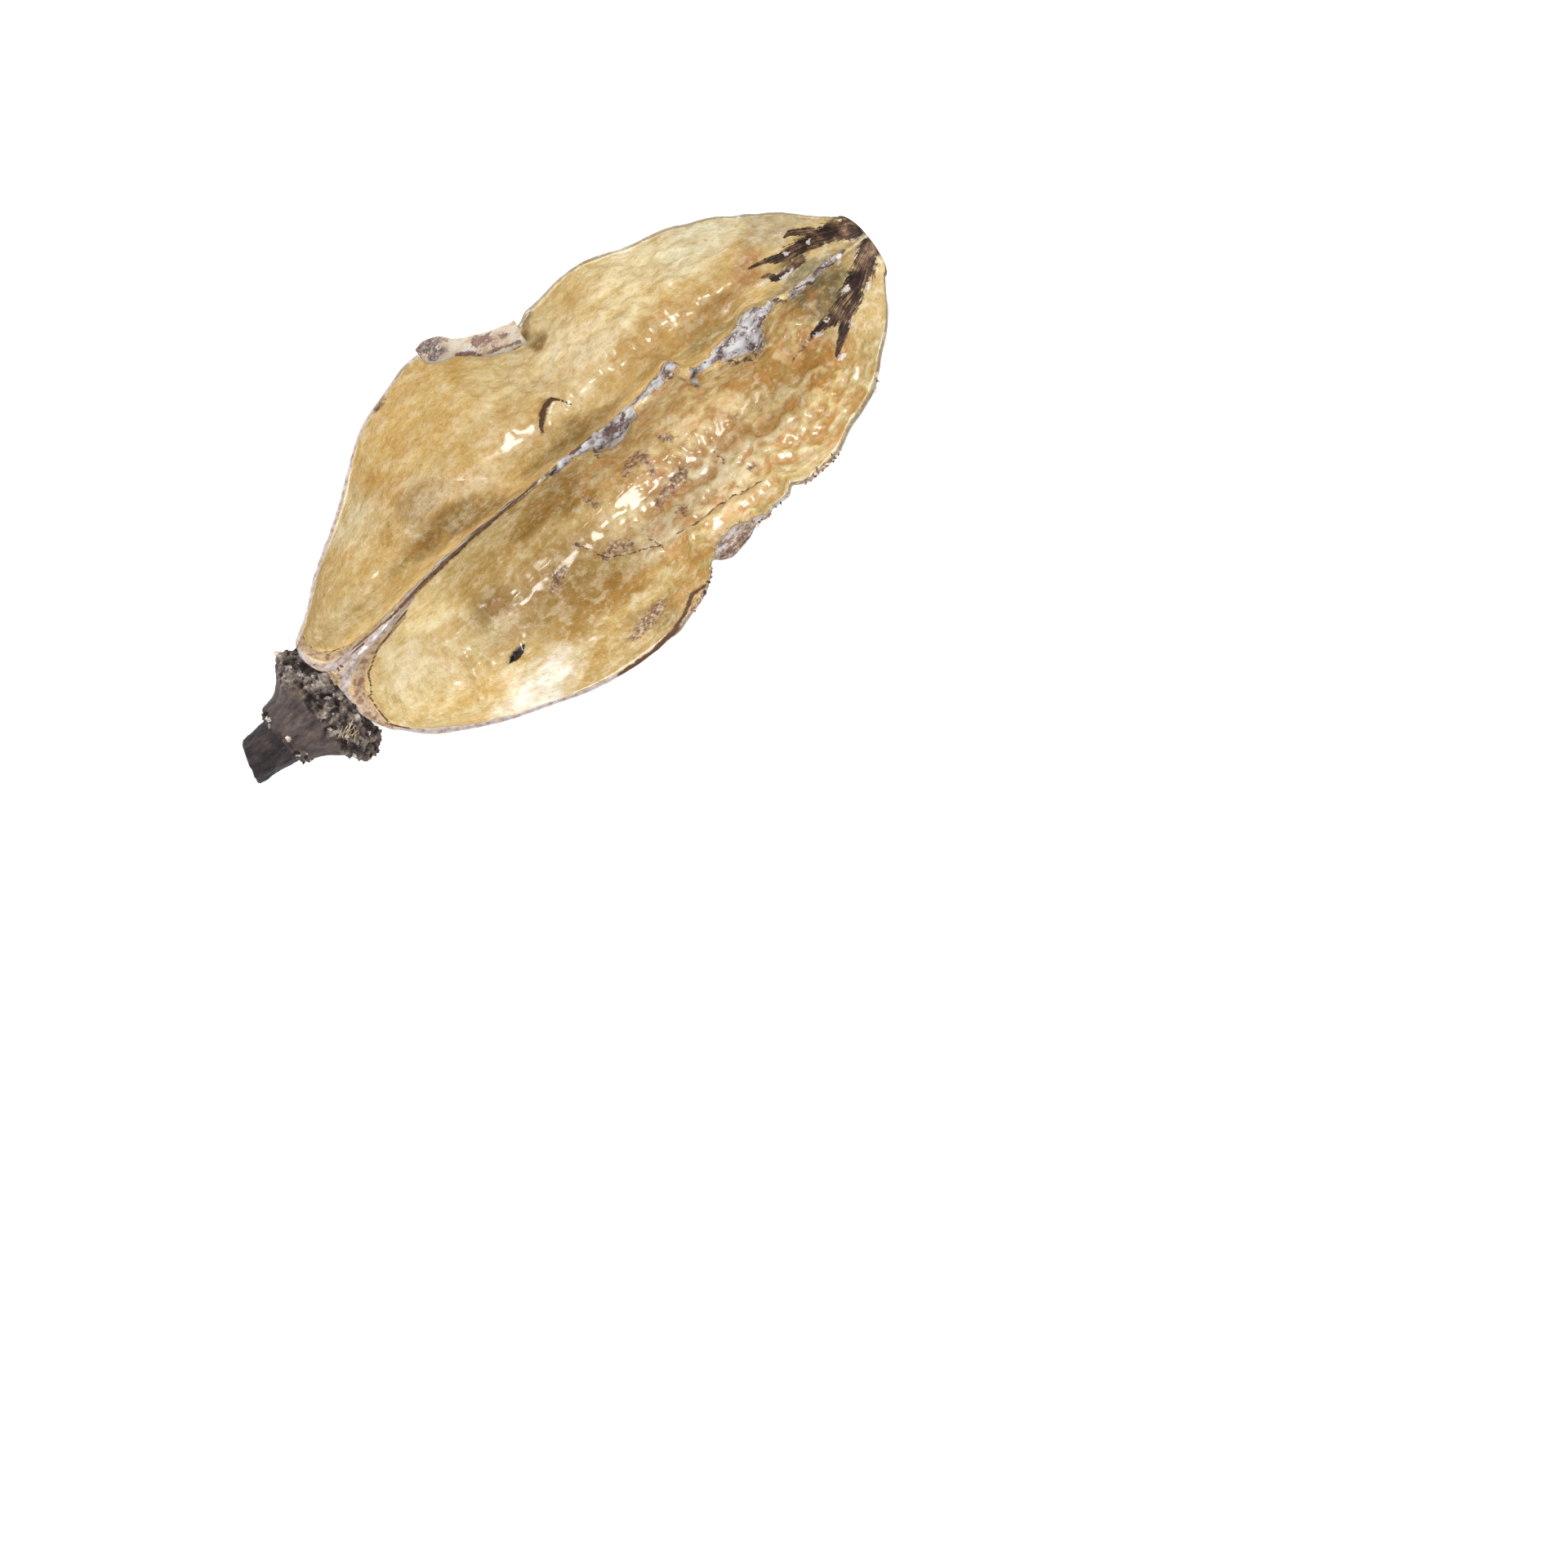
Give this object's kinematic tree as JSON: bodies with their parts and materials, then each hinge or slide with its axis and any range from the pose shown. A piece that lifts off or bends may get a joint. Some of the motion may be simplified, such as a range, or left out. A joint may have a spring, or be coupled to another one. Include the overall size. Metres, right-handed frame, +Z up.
{
  "type": "split seed capsule",
  "caption": "Dried seed capsule split open into smooth boat-shaped chambers on either side of a thin torn partition, with a dark woody calyx and a stub of stalk.",
  "frame": {"origin": "under the middle of the capsule, on the surface it lies on", "axes": "+X from the stalk to the tip, +Y towards the chamber with the rolled-over edge, +Z up out of the open chambers"},
  "size_m": [0.081, 0.0376, 0.0132],
  "materials": {
    "husk": "glossy parchment-like inner lining, dull torn edges",
    "calyx_wood": "rough weathered bark",
    "stalk_wood": "smooth dark bark"
  },
  "bodies": {
    "root": {"capsule": "husk", "calyx": "calyx_wood", "stalk": "stalk_wood"}
  },
  "joints": []
}
